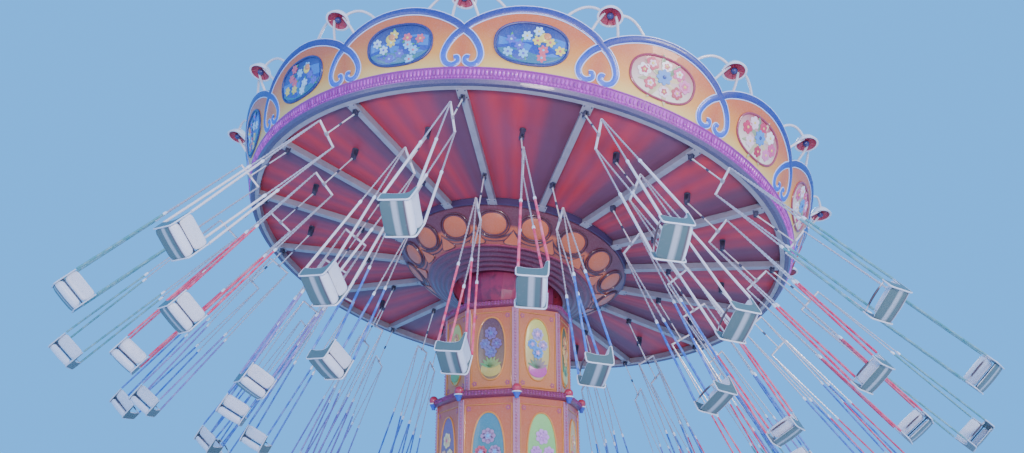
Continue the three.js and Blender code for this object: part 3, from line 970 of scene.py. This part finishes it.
def crown_shell(form):
    rows, tints = [], []
    dark = OVAL_EDGE.lerp(SCALLOP, 0.6)
    for step in range(13):
        rows.append([crown_point(angle, 0.82 * step / 12) for angle in circle(CROWN_SIDES)])
        tints.append(dark if step < 6 else OVAL_ORANGE.lerp(OVAL_EDGE, (step - 6) / 9))
    form.skin(rows, tints)
    section = [(2.4, -0.2405), (2.32, -0.2405), (1.68, -0.738), (1.74, -0.742)]
    back = [loop(radius, height, CROWN_SIDES) for radius, height in section]
    form.skin(back, SCALLOP)
    form.skin([rows[0], back[0]], SCALLOP)


def crown_ovals(form):
    """Domed orange ovals under the struts, with rounded drops between them."""
    drop = [(0, 0.17), (0.055, 0.07), (0.12, -0.03), (0.16, -0.1), (0.13, -0.135), (0, -0.145),
            (-0.13, -0.135), (-0.16, -0.1), (-0.12, -0.03), (-0.055, 0.07)]
    rounded = smooth_ring(drop, 3)
    for index in range(BAYS):
        place = crown_place(index * BAY, 0.345, -0.004)
        medallion(form, place, 0.275, 0.235, 0.035, OVAL_ORANGE * 0.94, OVAL_ORANGE, 0.018, SCALLOP,
                  2.1, 0.007)
        rim(form, place, ellipse(0.282 * 1.17, 0.242 * 1.17, 36, 2.1), 0.002, 0.013, SCALLOP * 0.9, 6, UP)
        place = crown_place((index + 0.5) * BAY, 0.63, -0.002)
        form.plate(rounded, 0.02, place, OVAL_ORANGE, 0.5)
        rim(form, place, [spot * 1.06 for spot in rounded], 0.004, 0.011, SCALLOP, 6, UP)


def crown_scallops(form):
    """Two dark arcs that dip below each oval like drapery."""
    spans = [2 * share - 1 for share in steps(16)]
    for index in range(BAYS):
        for dip, base, radius in ((0.17, 0.48, 0.02), (0.13, 0.6, 0.013)):
            path = [crown_point((index + share / 2) * BAY, base + dip * (1 - share ** 2), 0.002)
                    for share in spans]
            form.tube(path, radius, SCALLOP * 0.85)


def head_collar(form):
    """A dust collar round the tilting head, with a skirt to the funnel, in a pink lighter than its paint as
    painted light for the hub's shaded inside.
    """
    section = [(0.9, -0.625), (1.095, -0.667), (1.118, -0.69), (1.163, -0.955), (1.151, -0.957),
               (1.105, -0.722), (1.09, -0.724), (0.915, -0.715)]
    form.hoop(section, 72, HUB_INSIDE_PAINTED_LIGHT)
    form.mark = STEEL
    for angle in circle(24):
        bolt = turn(angle) @ at((1.02, 0, -0.7195))
        form.turned([(0, -0.012), (0.014, -0.012), (0.018, -0.006), (0.018, 0)], bolt, 6, DARK_STEEL)


def funnel_shell(form):
    """The funnel below the crown, with turned grooves and raised rings; the grooves take a painted shade."""
    top, foot = Vector((1.74, -0.772)), Vector((1.17, -0.994))
    section, tints = [], []
    for share in steps(26):
        lift = 0.008 * cos(share * pi * 10)
        section.append(top + (foot - top) * share - Vector((0, lift)))
        # Sunken points take the painted groove shade, raised ones the plain red
        tints.append(FUNNEL_RED if lift > 0 else FUNNEL_GROOVE_SHADE)
    section += [(1.165, -0.972), (1.66, -0.7405), (1.74, -0.7405)]
    # The inner wall takes the hub's painted light, dimmed
    form.hoop(section, 72, tints + [HUB_INSIDE_PAINTED_LIGHT * 0.6] * 3)


# Tower

# Field, ground, petals and hearts of the picture on each face
UPPER_PICTURES = [
    ((196, 196, 84), (196, 70, 160), (70, 146, 226), (236, 160, 196)),
    ((66, 104, 76), (196, 190, 90), (220, 150, 110), (240, 214, 120)),
    ((110, 40, 66), (180, 150, 60), (130, 96, 176), (232, 200, 120)),
    ((52, 118, 150), (80, 160, 120), (236, 200, 96), (214, 90, 90)),
    ((204, 110, 90), (120, 170, 90), (240, 226, 210), (226, 176, 80)),
    ((76, 84, 160), (84, 150, 150), (222, 150, 196), (240, 214, 130)),
    ((190, 190, 92), (110, 160, 84), (206, 84, 96), (238, 206, 110)),
    ((86, 40, 62), (186, 164, 66), (112, 84, 150), (84, 110, 170)),
]
LOWER_PICTURES = [
    ((132, 196, 110), (58, 150, 92), (206, 140, 214), (190, 120, 200)),
    ((214, 180, 92), (120, 150, 80), (214, 96, 116), (240, 220, 140)),
    ((70, 96, 150), (70, 150, 140), (226, 170, 190), (240, 210, 120)),
    ((150, 66, 96), (170, 150, 70), (236, 196, 170), (226, 170, 80)),
    ((64, 138, 120), (100, 170, 90), (226, 120, 90), (240, 214, 120)),
    ((196, 150, 84), (110, 140, 84), (150, 120, 200), (232, 204, 130)),
    ((120, 78, 130), (120, 160, 110), (236, 214, 150), (214, 110, 120)),
    ((48, 118, 140), (58, 140, 104), (190, 74, 92), (80, 160, 220)),
]


def wall_place(angle, reach):
    """A frame on an upright wall, with X across it and Y up."""
    return basis(polar(1, angle + pi / 2), UP, polar(1, angle), polar(reach, angle))


def face_place(radius, face):
    """The frame of a tower face, from the radius of its corners."""
    return wall_place((face + 0.5) * FACE, radius * cos(FACE / 2))


def tower_shell(form, shell):
    """The octagonal tube, shaded from orange at its ends to yellow."""
    bottom, top = shell.bottom, shell.neck
    rows, tints = [], []
    for share in steps(20):
        rows.append(loop(shell.radius, bottom + (top - bottom) * share, FACES))
        tints.append(TOWER_ORANGE.lerp(TOWER_YELLOW, 0.6 * sin(pi * share)))
    form.skin(rows, tints)
    hidden = [loop(shell.inside, height, FACES) for height in (bottom, top)]
    form.mark = STEEL
    for pair in (hidden, [rows[0], hidden[0]], [rows[-1], hidden[-1]]):
        form.skin(pair, DARK_STEEL)
    form.mark = ENAMEL


def bouquet(form, place, width, height, colours, style):
    """An oval niche with a bouquet in it."""
    field, ground, petal, heart = (tone(*colour) for colour in colours)
    shaded = field.lerp(ground, 0.35)
    medallion(form, place, width / 2, height / 2, 0.012, shaded, field, 0.017, TOWER_YELLOW, 2.3)
    low = place @ at((0, -height * 0.33, 0.012))
    form.plate(ellipse(width * 0.36, height * 0.12, 26), 0.008, low, ground)
    for index in range(7):
        green = ground.lerp(LEAF_GREEN, 0.5 + 0.07 * index)
        leaf(form, low @ at((0, 0.02, 0.006)), width * 0.42, width * 0.1, 0.006, green,
             pi * (0.14 + 0.12 * index))
    spots = [(0, 0.24, 0.17), (-0.2, 0.07, 0.14), (0.2, 0.07, 0.14), (0, -0.06, 0.16)]
    for index, (x, y, reach) in enumerate(spots):
        spot = place @ at((x * width * 1.05, y * height, 0.018 + 0.002 * index))
        size = reach * width
        shade = petal if index % 2 == style else petal.lerp(heart, 0.4)
        petals(form, spot, 7 + style, size * 1.3, size, 0.008, shade, heart, 0.3 * index)
        inner = shade.lerp(heart, 0.4)
        above = spot @ at((0, 0, 0.006))
        petals(form, above, 5, size * 0.65, size * 0.5, 0.006, inner, heart, 0.3 * index + 0.4)


def tower_pictures(form, radius, bottom, top, pictures, lead=0):
    """A raised border, a bouquet and corner flowers on each face."""
    half, tall = radius * sin(FACE / 2) - 0.085, (top - bottom) / 2
    border = [(-half, -tall), (0, -tall), (half, -tall), (half, 0), (half, tall), (0, tall), (-half, tall),
              (-half, 0)]
    for face, colours in enumerate(pictures):
        place = face_place(radius, face) @ at((0, bottom + tall, 0))
        rim(form, place, border, 0.004, 0.014, TOWER_YELLOW * 0.92)
        bouquet(form, place @ at((0, 0.02, 0)), half * 1.4, tall * 1.68, colours, (face + lead) % 2)
        for x in (0.075 - half, half - 0.075):
            for y in (0.075 - tall, tall - 0.075):
                petals(form, place @ at((x, y, 0.002)), 5, 0.05, 0.035, 0.006, ROSE, TOWER_YELLOW, 0.6)


def pilasters(form, radius, bottom, top):
    """Corner strips with a column of beads between two fillets."""
    middle = (bottom + top) / 2
    count = round((top - bottom) / 0.06)
    for corner in range(FACES):
        place = wall_place(corner * FACE, radius - 0.012)
        for side in (-0.052, 0.052):
            form.tube([place @ Vector((side, z, 0.002)) for z in (bottom, middle, top)], 0.014, LILAC)
        form.block(place @ at((0, middle, 0)), (0.1, top - bottom, 0.026), LILAC * 0.86, 0.005)
        for index in range(count):
            spot = place @ at((0, bottom + (index + 0.5) * (top - bottom) / count, 0.012))
            form.ball(spot, 0.025, ROSE.lerp(LILAC, chance.uniform(0.3, 0.9)), 6, 4)


def cornice(form, shell, bottom, count):
    """A stepped cornice with rows of beads."""
    radius, neck, top = shell.cornice, shell.neck, shell.top
    section = [(radius - 0.085, neck), (radius - 0.04, neck + 0.01), (radius - 0.012, bottom - 0.008),
               (radius, bottom), (radius, top - 0.04), (radius + 0.005, top - 0.03), (radius, top - 0.02),
               (radius - 0.03, top), (radius - 0.12, top), (radius - 0.12, neck)]
    form.hoop(section, FACES, CORNICE_MAGENTA)
    width = 2 * radius * sin(FACE / 2)
    for face in range(FACES):
        for row, size in ((0.26, 0.022), (0.66, 0.018)):
            for index in range(count):
                x = ((index + 0.5) / count - 0.5) * width
                spot = face_place(radius, face) @ at((x, bottom + (top - bottom) * row, 0.002))
                form.ball(spot, size, CORNICE_MAGENTA.lerp(PINK_PURPLE, chance.uniform(0, 0.3)), 6, 4)


def knobs(form, radius, height, size):
    """Ball knobs at a cornice's corners, on blue cups with pale collars."""
    cup = [(0, -0.11), (0.0315, -0.11), (0.045, -0.066), (0.081, 0), (0.0774, 0.018), (0, 0.0225)]
    collar = [(0, 0), (0.0882, 0), (0.0954, 0.0108), (0.0882, 0.0234), (0, 0.0252)]
    for spot in loop(radius, height, FACES):
        form.ball(at(spot + UP * (size * 0.9)), size, KNOB_RED, 18, 9)
        form.turned(cup, at(spot), 16, SKY_BLUE * 0.8)
        form.turned(collar, at(spot), 18, WHITE)


def lower_tower_panels(form):
    shell = LOWER_TOWER
    tower_shell(form, shell)
    tower_pictures(form, shell.radius, 0.62, 2.62, LOWER_PICTURES[::-1])
    tower_pictures(form, shell.radius, 2.86, 4.92, LOWER_PICTURES)


def lower_tower_trim(form):
    shell = LOWER_TOWER
    radius, inside, bottom, neck, top = shell.radius, shell.inside, shell.bottom, shell.neck, shell.top
    pilasters(form, radius, bottom + 0.11, neck - 0.02)
    cornice(form, shell, neck + 0.04, 18)
    lip = [(inside, neck), (radius, neck), (radius, top), (inside, top)]
    waist = [(inside, 2.7), (radius + 0.015, 2.7), (radius + 0.025, 2.715), (radius + 0.025, 2.765),
             (radius + 0.015, 2.78), (inside, 2.78)]
    foot = [(inside, bottom), (radius + 0.03, bottom), (radius + 0.03, bottom + 0.05),
            (radius + 0.01, bottom + 0.08), (inside, bottom + 0.08)]
    for section in (lip, waist, foot):
        form.hoop(section, FACES, CORNICE_MAGENTA)
    knobs(form, shell.cornice - 0.02, top - 0.09, 0.09)


def upper_tower_panels(form):
    shell = UPPER_TOWER
    inside, bottom = shell.inside, shell.bottom
    tower_shell(form, shell)
    tower_pictures(form, shell.radius, LOWER_TOWER.top + 0.08, shell.neck - 0.1, UPPER_PICTURES, 1)
    form.mark = STEEL
    guide = LOWER_TOWER.inside - 0.002
    foot = [(inside, bottom), (guide, bottom), (guide, bottom + 0.15), (inside, bottom + 0.15)]
    form.hoop(foot, FACES, DARK_STEEL)


def upper_tower_trim(form):
    shell = UPPER_TOWER
    radius, top = shell.radius, shell.top
    pilasters(form, radius, shell.bottom + 0.21, shell.neck - 0.02)
    cornice(form, shell, shell.neck + 0.035, 16)
    form.mark = STEEL
    deck = [(0.945, top - 0.06), (radius, top - 0.06), (radius, top - 0.0005), (0.945, top - 0.0005)]
    form.hoop(deck, FACES, DARK_STEEL)


# Chairs

ARM = 0.255
BACK = [(-0.168, 0.012), (-0.176, 0.03), (-0.186, 0.08), (-0.198, 0.14), (-0.208, 0.19), (-0.214, 0.222),
        (-0.215, 0.236)]
PAN = [(-0.19, -0.03), (-0.186, -0.05), (-0.176, -0.09), (-0.162, -0.122), (-0.14, -0.137), (-0.125, -0.137),
       (-0.1, -0.135), (-0.05, -0.127), (-0.01, -0.122), (0.035, -0.116), (0.06, -0.112), (0.14, -0.103),
       (0.185, -0.1), (0.205, -0.105)]
CHEEK = [(-0.235, 0.225), (-0.2, 0.2), (-0.165, 0.06), (-0.08, 0.02), (0.08, 0.035), (0.185, 0.072),
         (0.212, 0.05), (0.216, -0.06), (0.2, -0.115), (0.05, -0.135), (-0.13, -0.155), (-0.19, -0.15),
         (-0.212, -0.06)]
CHAIR_COLOURS = {
    "outer": "purple blue blue purple blue blue teal teal cream cream cream teal teal teal red teal",
    "mid": "blue purple blue purple blue purple red red cream red cream red red blue purple red",
    "inner": "blue blue red blue purple blue blue purple blue red blue blue red blue red blue",
}


def hook_rod(form, twist):
    """An eye at the pivot, a round shank and a dark grip."""
    form.block(turn(twist) @ at((0, 0, -0.012)), (0.035, 0.028, 0.076), STRUT_GREY, 0.008)
    shank = [(0, -0.95), (0.016, -0.95), (0.017, -0.9), (0.0135, -0.86), (0.0135, -0.12), (0.018, -0.07),
             (0.016, -0.03), (0, -0.03)]
    form.turned(shank, Matrix(), 10, WARM_WHITE)
    grip = [(0, -0.55), (0.02, -0.55), (0.022, -0.53), (0.022, -0.49), (0.02, -0.47), (0, -0.47)]
    form.turned(grip, Matrix(), 10, DARK_STEEL * 1.4)


def spreader(form):
    """A round cross-bar with collars and end eyes."""
    path = [Vector((x, 0, -HOOK_LENGTH)) for x in (-0.262, -0.25, -0.2, -0.06, 0.06, 0.2, 0.25, 0.262)]
    radii = [0.018, 0.023, 0.021, 0.022, 0.022, 0.021, 0.023, 0.018]
    form.tube(path, radii, WARM_WHITE, 12)
    form.block(at((0, 0, -HOOK_LENGTH)), (0.07, 0.05, 0.052), STRUT_GREY, 0.01)


def chain_run(form, start, end, colour):
    """Bare links above, a connector, and a coloured sleeve below."""
    joint = (start + end) / 2
    links = max(int((joint - start).length / 0.08), 4)
    form.mark = CHAIN
    radii = [0.0175 if step % 2 else 0.01 for step in range(links * 2 + 1)]
    form.tube([start.lerp(joint, share) for share in steps(links * 2)], radii, WARM_WHITE * 0.95, 5)
    form.mark = SLEEVE
    form.tube([joint.lerp(end, share) for share in steps(8)], 0.02, colour)
    form.mark = STEEL
    connector = [(0, -0.05), (0.02, -0.045), (0.026, -0.02), (0.026, 0.02), (0.02, 0.045), (0, 0.05)]
    form.turned(connector, at(joint) @ aim(end - start), 8, WHITE)


def chair_chains(form, length, colour):
    """Two chains on each side, to the seat's front and back."""
    for side in (-ARM, ARM):
        for top, y, z in ((0.006, 0.186, 0.075), (-0.006, -0.228, 0.248)):
            chain_run(form, Vector((side, top, -HOOK_LENGTH - 0.012)), Vector((side, y, z - length)), colour)


def padded_sheet(form, line, length, thickness, under):
    """A moulded sheet along a profile of Y and Z, with rounded edges and a soft crown."""
    columns, half, crown = 12, 0.252, 0.012
    path = [Vector((0, y, z - length)) for y, z in line]
    last = len(path) - 1
    rows, tints = [], []
    for index, place in enumerate(path):
        run = (path[min(index + 1, last)] - path[max(index - 1, 0)]).normalized()
        normal = Vector((1, 0, 0)).cross(run)
        end = min(index, last - index)
        squeeze = (0.76, 0.9, 0.97, 1)[min(end, 3)]
        pinch = 1.0 if end else 0.45
        row = []
        for angle in circle(columns * 2):
            x = half * squeeze * copysign(abs(cos(angle)) ** 0.35, cos(angle))
            lift = thickness / 2 * copysign(abs(sin(angle)) ** 0.5, sin(angle))
            rise = crown * (1 - (x / half) ** 2)
            row.append(place + Vector((x, 0, 0)) + normal * ((lift - rise) * pinch))
        rows.append(row)
        tints.append([SHELL_WHITE * 0.9] * columns + [under[index]] * columns)
    form.solid(rows, tints)


def seat_shell(form, length):
    """Backrest, seat pan and a shaped cheek on each side."""
    form.mark = PLASTIC
    padded_sheet(form, BACK, length, 0.036, [SHELL_WHITE] * len(BACK))
    pale = SHELL_GREEN.lerp(SHELL_WHITE, 0.5)
    under = [SHELL_WHITE] * 5 + [SHELL_DARK] + [SHELL_GREEN] * 2 + [pale] * 2 + [SHELL_GREEN] * 4
    padded_sheet(form, PAN, length, 0.034, under)
    right = Vector((1, 0, 0))
    curve = smooth_ring(CHEEK, 2)
    for side in (-ARM, ARM):
        place = basis(Vector((0, 1, 0)), UP, right, Vector((side, 0, -length)))
        rows = []
        for lift, scale in ((-0.012, 0.96), (0, 1), (0.012, 0.96)):
            rows.append([place @ Vector((*spot * scale, lift)) for spot in curve])
        form.solid(rows, SHELL_GREEN)
        form.tube(rows[1], 0.0125, SHELL_WHITE * 0.9, 6, right, closed=True)


def seat_bars(form, length):
    """A dark rod between the panels, and a bowed lap bar with a padded middle."""
    form.mark = STEEL
    rod = [Vector((x, -0.176, -0.009 - length)) for x in (-0.262, -0.25, 0, 0.25, 0.262)]
    form.tube(rod, [0.009, 0.013, 0.013, 0.013, 0.009], DARK_STEEL)
    spans = [2 * share - 1 for share in steps(8)]
    bar = [Vector((0.25 * x, 0.168 + 0.03 * (1 - x * x), 0.062 - length)) for x in spans]
    radii = [0.009, 0.009, 0.014, 0.016, 0.016, 0.016, 0.014, 0.009, 0.009]
    form.tube(bar, radii, [WARM_WHITE] * 2 + [SHELL_DARK] * 5 + [WARM_WHITE] * 2, 6)


def chair(ring_name, index, colour):
    ring = RINGS[ring_name]
    place, twist = chair_frame(ring, index)
    form = Form()
    form.mark = STEEL
    hook_rod(form, twist)
    spreader(form)
    chair_chains(form, ring.length, SLEEVES[colour])
    seat_shell(form, ring.length)
    seat_bars(form, ring.length)
    name = f"{ring_name}_chair_{index + 1:02d}"
    form.make(f"{name}_dressed", name, name, place)


# Stage, light and camera

# The photograph's frame and where its camera stands
FRAME_WIDTH = 1024
FOCAL_PIXELS = 975.0
SENSOR_WIDTH = 36.0
CAMERA_PLACE = (0.080, -19.824, 1.595)
CAMERA_PITCH = radians(20.5)


def stage():
    sheet = bmesh.new()
    bmesh.ops.create_grid(sheet, x_segments=8, y_segments=8, size=140.0)
    mesh = bpy.data.meshes.new("stage_floor")
    sheet.to_mesh(mesh)
    sheet.free()
    mesh.materials.append(PAPER)
    floor = put("stage_floor", mesh)
    floor.location.z = -0.002


def sky_glow():
    world = bpy.data.worlds.new("studio")
    world.use_nodes = True
    back = world.node_tree.nodes["Background"]
    back.inputs["Color"].default_value = tone(84, 172, 255)
    back.inputs["Strength"].default_value = 1.5
    bpy.context.scene.world = world


def soft_light(name, kind, place, target, size, power, colour):
    """A disc of light, or a wide spot that fades out."""
    data = bpy.data.lights.new(name, kind)
    if kind == "AREA":
        data.shape = "DISK"
        data.size = size
    else:
        data.shadow_soft_size = size / 2
        data.spot_size = radians(60)
        data.spot_blend = 1.0
    data.energy = power
    data.color = colour[:3]
    light = put(name, data)
    light.location = place
    light.rotation_euler = (Vector(target) - Vector(place)).to_track_quat("-Z", "Y").to_euler()


def camera():
    data = bpy.data.cameras.new("photo_camera")
    data.sensor_width = SENSOR_WIDTH
    data.sensor_fit = "HORIZONTAL"
    data.lens = SENSOR_WIDTH * FOCAL_PIXELS / FRAME_WIDTH
    data.clip_end = 400
    view = put("photo_camera", data)
    view.location = CAMERA_PLACE
    view.rotation_euler = (pi / 2 + CAMERA_PITCH, 0, 0)
    bpy.context.scene.camera = view


# The pieces' builders by body and slot, and the solids that some of them replace
BUILDERS = {
    ("canopy", "board_paint"): [board_panels, board_outlines_pale, board_outlines, board_edges, board_braces,
                                board_pictures, finial_caps, finial_legs],
    ("canopy", "trim_paint"): [trim_band, trim_beads_tall, trim_beads_round],
    ("canopy", "strut_paint"): [strut_beams, canopy_rings, strut_hangers],
    ("canopy", "soffit_paint"): [ceiling_sheet, middle_hangers],
    ("canopy", "roof_sheet"): [roof_cone],
    ("canopy", "crown_paint"): [crown_shell, crown_ovals, crown_scallops],
    ("canopy", "funnel_paint"): [funnel_shell],
    ("tilt_unit", "head_paint"): [head_collar],
    ("base", "lower_tower_panel"): [lower_tower_panels, lower_tower_trim],
    ("tower_lift", "upper_tower_panel"): [upper_tower_panels, upper_tower_trim],
}
REPLACED = {
    board_panels: "rounding_boards", trim_band: "rim_trim", strut_beams: "sweep_frame",
    ceiling_sheet: "soffit", roof_cone: "roof", crown_shell: "hub_crown", funnel_shell: "hub_funnel",
    lower_tower_panels: "lower_tower", upper_tower_panels: "upper_tower",
}

camera()
for (body, slot), builders in BUILDERS.items():
    for build in builders:
        form = Form()
        build(form)
        form.make(build.__name__, body, REPLACED.get(build))

# The solids that stay take a finish of their own
for node, finish in (("base_plinth", PLINTH), ("tilt_cradle", MACHINE), ("tilt_head", MACHINE)):
    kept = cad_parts[node].data.materials
    kept.clear()
    kept.append(finish)

for ring_name, colours in CHAIR_COLOURS.items():
    for index, colour in enumerate(colours.split()):
        chair(ring_name, index, colour)

stage()
sky_glow()
soft_light("key", "AREA", (24, -26, 18), (1, 0, 8), 10, 9000, tone(255, 246, 232))
soft_light("fill", "AREA", (-26, -22, 12), (0, 0, 7), 14, 2600, tone(226, 236, 255))
soft_light("bounce", "SPOT", (0, -26, 3.2), (0, 0, 9.5), 5, 18000, tone(255, 234, 232))
soft_light("rim", "AREA", (6, 26, 24), (0, 0, 9), 12, 4000, tone(240, 246, 255))
